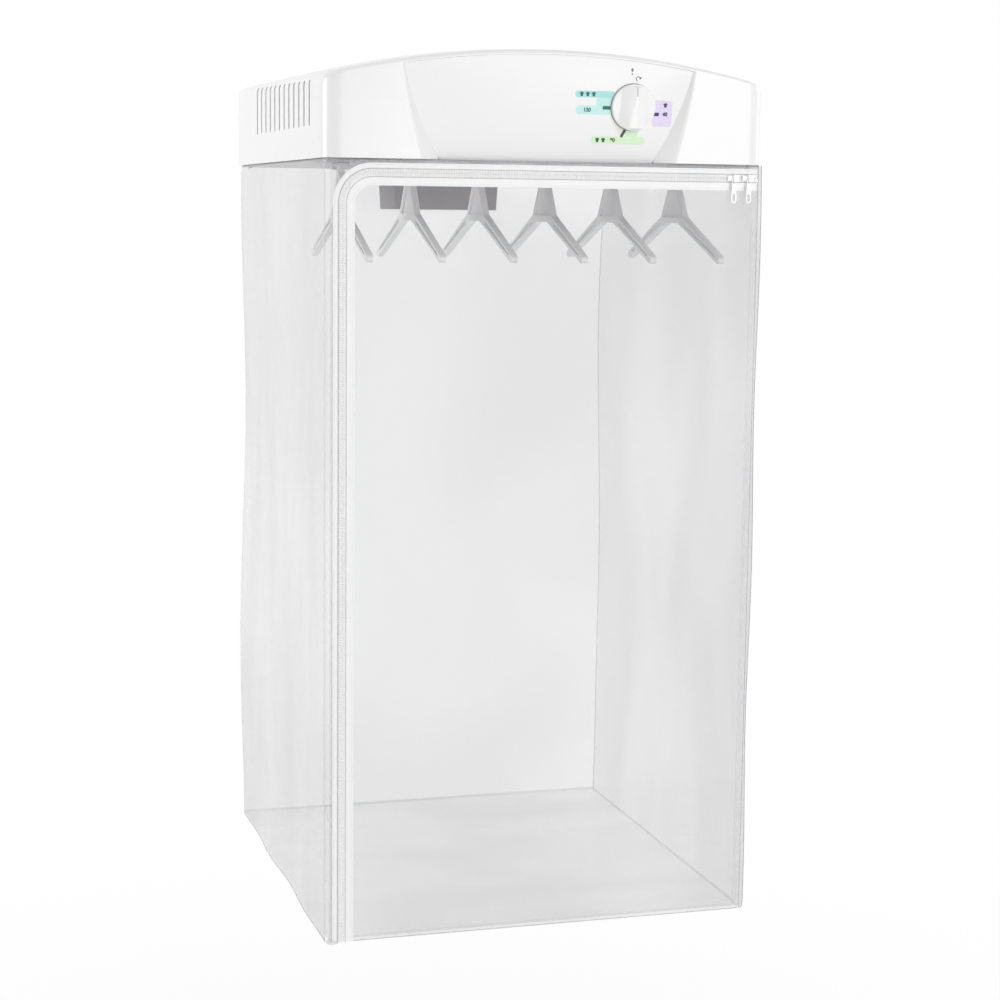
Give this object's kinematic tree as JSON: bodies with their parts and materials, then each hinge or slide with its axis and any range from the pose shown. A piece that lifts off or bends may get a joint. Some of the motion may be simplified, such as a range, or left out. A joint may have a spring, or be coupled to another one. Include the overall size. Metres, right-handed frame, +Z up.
{
  "type": "wall-mounted clothes dryer",
  "caption": "White domed blower head with a timer knob over a clear zipped film bag in which clothes hang and dry.",
  "frame": {"origin": "middle of the wall bracket's back face, on the wall", "axes": "+Z up, +Y into the wall, the front with the zip door faces -Y, +X to the right seen from the front"},
  "size_m": [0.5811, 0.6463, 1.1488],
  "materials": {
    "casing": "white moulded plastic, semi-gloss",
    "fascia": "off-white moulded plastic, satin",
    "knob": "white moulded plastic, smooth",
    "hanger": "white moulded plastic",
    "duct": "dark grey moulded plastic",
    "moulding": "grey heat-proof moulding",
    "steel": "zinc-plated steel",
    "lamination": "stamped steel laminations",
    "copper": "enamelled copper winding",
    "mica": "mica board",
    "heater_wire": "dull resistance wire",
    "rubber": "black rubber",
    "film": "clear soft plastic film",
    "zip_tape": "white woven tape",
    "zip_plastic": "white plastic coil, sliders and pulls"
  },
  "bodies": {
    "root": {"casing_shell": "casing", "fascia_panel": "fascia", "base_plate": "casing", "back_plate": "casing", "wall_bracket": "steel", "casing_screw_1": "steel", "casing_screw_2": "steel", "casing_screw_3": "steel", "casing_screw_4": "steel", "timer_body": "moulding", "timer_nut": "steel", "blower_housing": "moulding", "blower_cover": "moulding", "motor_bridge_inner": "lamination", "motor_bridge_outer": "lamination", "motor_stator": "lamination", "motor_coil": "copper", "heater_frame": "mica", "heater_coil": "heater_wire", "air_outlet_duct": "duct", "thermostat": "steel", "thermal_fuse": "moulding", "terminal_block": "moulding", "cord_gland": "rubber", "hanger_socket_1": "hanger", "hanger_socket_2": "hanger", "hanger_socket_3": "hanger", "hanger_socket_4": "hanger", "hanger_socket_5": "hanger", "hanger_socket_6": "hanger", "cover_left": "film", "cover_right": "film", "cover_back": "film", "cover_floor": "film", "cover_surround": "film", "zip_tape_outer": "zip_tape", "zip_chain_outer": "zip_plastic"},
    "fan": {"fan_wheel": "moulding", "motor_shaft": "steel", "motor_rotor": "lamination"},
    "knob": {"timer_knob": "knob", "timer_shaft": "steel"},
    "door": {"door_flap": "film", "zip_tape_inner": "zip_tape", "zip_chain_inner": "zip_plastic", "zip_end_stop": "zip_plastic"},
    "slider_1": {"zip_slider_1": "zip_plastic"},
    "slider_2": {"zip_slider_2": "zip_plastic"},
    "pull_1": {"zip_pull_1": "zip_plastic"},
    "pull_2": {"zip_pull_2": "zip_plastic"},
    "hanger_1": {"hanger_1": "hanger"},
    "hanger_2": {"hanger_2": "hanger"},
    "hanger_3": {"hanger_3": "hanger"},
    "hanger_4": {"hanger_4": "hanger"},
    "hanger_5": {"hanger_5": "hanger"},
    "hanger_6": {"hanger_6": "hanger"}
  },
  "joints": [
    {"name": "timer_turn", "type": "hinge", "parent": "root", "child": "knob", "pos_m": [0.1105, -0.62174, 0.008], "axis": [0, -0.9939, -0.1099], "range_deg": [-300, 0]},
    {"name": "fan_spin", "type": "hinge", "parent": "root", "child": "fan", "pos_m": [0, -0.08, 0.01], "axis": [1, 0, 0], "continuous": true},
    {"name": "door_swing", "type": "hinge", "parent": "root", "child": "door", "pos_m": [0.2825, -0.6245, -0.562], "axis": [0, 0, 1], "range_deg": [0, 100]},
    {"name": "slider_1_slide", "type": "slide", "parent": "door", "child": "slider_1", "axis": [-1, 0, 0], "range_m": [0, 0.45]},
    {"name": "slider_2_slide", "type": "slide", "parent": "door", "child": "slider_2", "axis": [-1, 0, 0], "range_m": [0, 0.0035]},
    {"name": "pull_1_swing", "type": "hinge", "parent": "slider_1", "child": "pull_1", "pos_m": [0.248, -0.6307, -0.0812], "axis": [-1, 0, 0], "range_deg": [0, 110]},
    {"name": "pull_2_swing", "type": "hinge", "parent": "slider_2", "child": "pull_2", "pos_m": [0.2685, -0.6307, -0.0812], "axis": [-1, 0, 0], "range_deg": [0, 110]},
    {"name": "hanger_1_slide", "type": "slide", "parent": "root", "child": "hanger_1", "axis": [1, 0, 0], "range_m": [-0.006, 0.006]},
    {"name": "hanger_2_slide", "type": "slide", "parent": "root", "child": "hanger_2", "axis": [1, 0, 0], "range_m": [-0.006, 0.006]},
    {"name": "hanger_3_slide", "type": "slide", "parent": "root", "child": "hanger_3", "axis": [1, 0, 0], "range_m": [-0.006, 0.006]},
    {"name": "hanger_4_slide", "type": "slide", "parent": "root", "child": "hanger_4", "axis": [1, 0, 0], "range_m": [-0.006, 0.006]},
    {"name": "hanger_5_slide", "type": "slide", "parent": "root", "child": "hanger_5", "axis": [1, 0, 0], "range_m": [-0.006, 0.006]},
    {"name": "hanger_6_slide", "type": "slide", "parent": "root", "child": "hanger_6", "axis": [1, 0, 0], "range_m": [-0.006, 0.006]}
  ]
}
